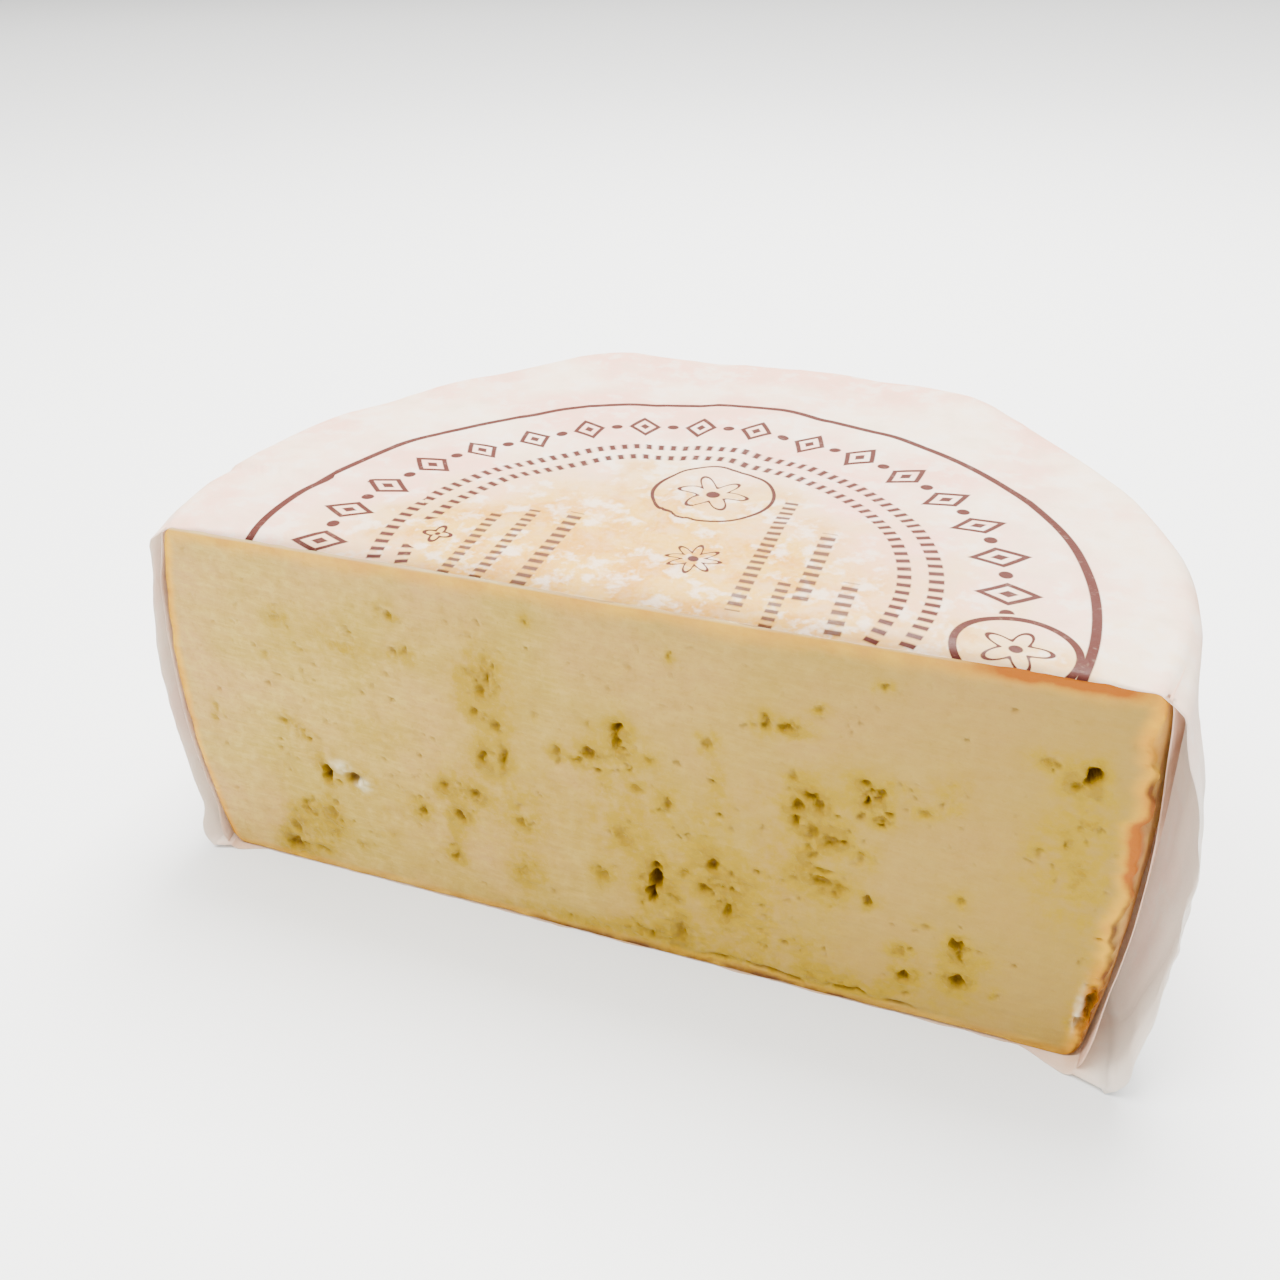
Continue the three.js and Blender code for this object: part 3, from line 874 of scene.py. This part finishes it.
def paper_print(finish, place):
    """The print, as a 0 to 1 mask: plain ornament in rings round a centre beside the axis. A heavy
    ring; a band of outlined lozenges and dots; two beaded rings; beaded rows across the middle; and
    four flowers, two of them in a round frame. A flower's outline is where the way from its centre
    is size x (0.42 + 0.16 cos(petals x angle))."""
    x, y, z = finish.axes(place)

    def around(centre_x, centre_y):
        across, along = x - centre_x, y - centre_y
        distance = (across * across + along * along).math("SQRT")
        return distance, along.math("ARCTAN2", across)

    def cell(angle, count):
        """The place within a repeat, -0.5 to 0.5."""
        return (angle * (count / (2 * math.pi))).math("FRACT") - 0.5

    radius, angle = around(*RING_CENTRE)
    share = cell(angle, LOZENGES)
    across = (share * (2 * math.pi * BAND / LOZENGES)).math("ABSOLUTE")
    along = (radius - BAND).math("ABSOLUTE")
    lozenge = across / LOZENGE_WIDE + along / LOZENGE_HIGH
    dot = ((across - DOT_AWAY) * (across - DOT_AWAY) + along * along).math("SQRT")
    ink = (lozenge - 0.82).within(0.17, 0.07)
    ink = ink.math("MAXIMUM", lozenge.within(0.3, 0.07))
    ink = ink.math("MAXIMUM", dot.within(1.4, 0.25))
    for line, count, half in BEADED_RINGS:
        bead = cell(angle, count).within(0.27, 0.2) * (radius - line).within(half, 0.3)
        ink = ink.math("MAXIMUM", bead)
    for stamp_x, stamp_y, size, *_ in STAMPS:
        ink = ink * (around(stamp_x, stamp_y)[0] - size).math("GREATER_THAN", 1.5)
    ink = ink.math("MAXIMUM", (radius - RING).within(RING_HALF, 0.25))
    for row_x, low, high, pitch, half in BEADED_ROWS:
        bead = (y / pitch).math("FRACT") - 0.5
        reach = (y - (low + high) / 2).within((high - low) / 2, 0.3)
        row = bead.within(0.28, 0.22) * (x - row_x).within(half, 0.3) * reach
        row = row * (radius - BEADED_RINGS[-1][0]).math("LESS_THAN", -3.5)
        ink = ink.math("MAXIMUM", row * 0.95)
    for stamp_x, stamp_y, size, petals, line in STAMPS:
        distance, turn = around(stamp_x, stamp_y)
        flower = (turn * petals).math("COSINE") * (size * 0.16) + size * 0.42
        if line:
            ink = ink.math("MAXIMUM", (distance - size).within(line, 0.2))
        ink = ink.math("MAXIMUM", (distance - flower).within(0.5, 0.25))
        ink = ink.math("MAXIMUM", distance.within(size * 0.12, 0.25))
    return ink * (z - paper_wheel.middle).math("GREATER_THAN", paper_wheel.top / 2 - 6)


PAPER_WHITE = shade(254, 240, 224)
PAPER_PINK = shade(252, 202, 182)
PAPER_CREAM = shade(230, 184, 48)
PAPER_YELLOW = shade(216, 154, 0)
PAPER_LIGHT = shade(252, 248, 242)
PAPER_DIM = shade(226, 204, 180)
PAPER_LOOSE = shade(243, 241, 236)
SIDE_PALE = shade(232, 210, 190)
SIDE_BAND = shade(210, 168, 140)
SIDE_OCHRE = shade(220, 180, 124)
PLY_PINK = shade(230, 190, 166)
PLY_BROWN = shade(150, 92, 50)
PAPER_THROUGH = shade(248, 242, 234)
INK = shade(66, 24, 18)
WET_CENTRE = (3.0, -29.0)  # where the oil has wetted the sheet most, and how far it has spread
WET_REACH = 66.0


def paper_finish():
    """Pinkish-white paper, cream where oil has wetted it near the middle, with faint fibres; the
    rind's bands showing through down the side; greyer where it stands loose; the print on top."""
    finish = Finish("greaseproof paper")
    place = finish.place()
    ink = paper_print(finish, place)
    x, y, z = finish.axes(place)
    patches = finish.noise(place, 26, 4, 0.55)
    blots = finish.noise(place, 9, 4, 0.6)
    fibres = finish.noise(place, 0.9, 4, 0.7)
    wet_x, wet_y = x - WET_CENTRE[0], y - WET_CENTRE[1]
    from_middle = (wet_x * wet_x * 0.6 + wet_y * wet_y).math("SQRT")
    wet = ((WET_REACH - from_middle) / 36 + (patches - 0.5) * 2.4).clipped()
    colour = finish.mix(patches.rise(0.4, 0.62), PAPER_PINK, PAPER_WHITE)
    colour = finish.mix(wet * 0.95, colour, PAPER_CREAM)
    yellow = (wet * 1.3 - 0.4).clipped() * blots.rise(0.44, 0.58)
    colour = finish.mix(yellow * 0.85, colour, PAPER_YELLOW)
    lit = finish.noise(place, 6, 4, 0.65)
    colour = finish.mix(lit.rise(0.52, 0.62) * 0.6, colour, PAPER_LIGHT)
    colour = finish.mix(lit.fall(0.34, 0.47) * 0.35, colour, PAPER_DIM)
    down = ((paper_wheel.top - 5 - z) / 9).clipped()
    bands = finish.noise(finish.place((46, 46, 3.4)), 1, 3, 0.6)
    side = finish.mix(bands.rise(0.4, 0.64), SIDE_PALE, SIDE_BAND)
    side = finish.mix(blots.rise(0.5, 0.72), side, SIDE_OCHRE)
    clinging = (1 - finish.mask("slack") * 1.6).clipped()
    colour = finish.mix(down * clinging * 0.8, colour, side)
    colour = finish.mix(finish.mask("slack").clipped() * 0.9, colour, PAPER_LOOSE)
    colour = finish.mix(finish.mask("stained"), colour, PLY_PINK)
    streak = finish.mask("stained") * ((z - 66).within(9, 5) * (blots * 2.2 - 0.3)).clipped()
    colour = finish.mix(streak * 0.8, colour, PLY_BROWN)
    colour = finish.mix((fibres - 0.5) * 0.5 + 0.06, colour, PAPER_LIGHT)
    worn = finish.noise(place, 1.6, 3, 0.7).ramp((0.28, (0.93, 0.93, 0.93)), (0.42, (1, 1, 1)))
    colour = finish.mix(ink * worn, colour, INK)
    bump = fibres * 0.5 + finish.noise(place, 3.5, 3, 0.6) * 1.2
    normal = finish.node("ShaderNodeBump", {}, {"Height": bump, "Strength": 0.35, "Distance": 0.0004})
    sheet = finish.node("ShaderNodeBsdfPrincipled", {}, {
        "Base Color": colour, "Roughness": 0.5 - wet * 0.1, "Normal": normal,
        "Specular IOR Level": 0.16,
    })
    through = finish.node("ShaderNodeBsdfTranslucent", {}, {"Color": PAPER_THROUGH})
    both = finish.node("ShaderNodeMixShader", {}, {0: 0.4 - ink * 0.4, 1: sheet, 2: through})
    finish.node("ShaderNodeOutputMaterial", {}, {"Surface": both})
    return finish.material


wrapper = build_wrapper()
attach(wrapper, "root")
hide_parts("paper_wrapper")


# --------------------------------------------------
# The stage: a pale table under soft studio light, and the camera.
# A wide lamp overhead does most; one behind and a weak key in front, all a little warm, add to it.
# --------------------------------------------------
TABLE_RADIUS = 6000
TABLE = (0.76, 0.82, 0.88, 1)  # a little cool, so that it looks neutral under the warm lamps
LAMP_TINT = (1.0, 0.93, 0.85)
TABLE_SIDES = 96
TABLE_DROP = 0.05  # the two surfaces don't meet


def build_table():
    """A wide disc, r (cos a, sin a), pale grey-white, just under the surface the piece stands on."""
    angle = np.linspace(0, 2 * math.pi, TABLE_SIDES + 1)[:-1]
    rim = flat(TABLE_RADIUS * np.cos(angle), TABLE_RADIUS * np.sin(angle), 0 * angle - TABLE_DROP)
    finish = Finish("table")
    matte = finish.node("ShaderNodeBsdfPrincipled", {}, {"Base Color": TABLE, "Roughness": 0.7})
    finish.node("ShaderNodeOutputMaterial", {}, {"Surface": matte})
    return make_piece("table", rim, [list(range(TABLE_SIDES))], {}, finish.material)


def soft_light(name, place, size, power, aim=(0, 0, 40)):
    """A square lamp whose side and place are in millimetres, turned so that it faces aim."""
    lamp = bpy.data.lights.new(name, "AREA")
    lamp.size = size * MM
    lamp.energy = power
    lamp.color = LAMP_TINT
    holder = bpy.data.objects.new(name, lamp)
    holder.location = np.array(place) * MM
    holder.rotation_euler = Vector(np.array(aim) - np.array(place)).to_track_quat("-Z", "Y").to_euler()
    bpy.context.scene.collection.objects.link(holder)


table = build_table()

world = bpy.data.worlds.new("studio")
world.use_nodes = True
world.node_tree.nodes["Background"].inputs["Color"].default_value = (*LAMP_TINT, 1)
world.node_tree.nodes["Background"].inputs["Strength"].default_value = 1.0
bpy.context.scene.world = world
soft_light("ceiling", (-200, 900, 3000), 4000, 330, (-200, 900, 0))
soft_light("back", (0, 500, 1100), 600, 44)
soft_light("key", (-380, -300, 900), 500, 11)

CAMERA_PLACE = (73.2, -203.7, 195.5)
CAMERA_TURN = 20.56  # degrees, from +Y towards -X
CAMERA_TILT = 32.15  # degrees, downwards
CAMERA_ROLL = -1.27
camera_data = bpy.data.cameras.new("camera")
camera_data.sensor_width = 36
camera_data.lens = 32.57
camera_data.clip_start = 0.01
camera_data.clip_end = 50
camera = bpy.data.objects.new("camera", camera_data)
turn = Matrix.Rotation(math.radians(CAMERA_TURN), 4, "Z")
tilt = Matrix.Rotation(math.radians(90 - CAMERA_TILT), 4, "X")
roll = Matrix.Rotation(math.radians(CAMERA_ROLL), 4, "Z")
camera.matrix_world = Matrix.Translation(Vector(CAMERA_PLACE) * MM) @ turn @ tilt @ roll
bpy.context.scene.collection.objects.link(camera)
bpy.context.scene.camera = camera
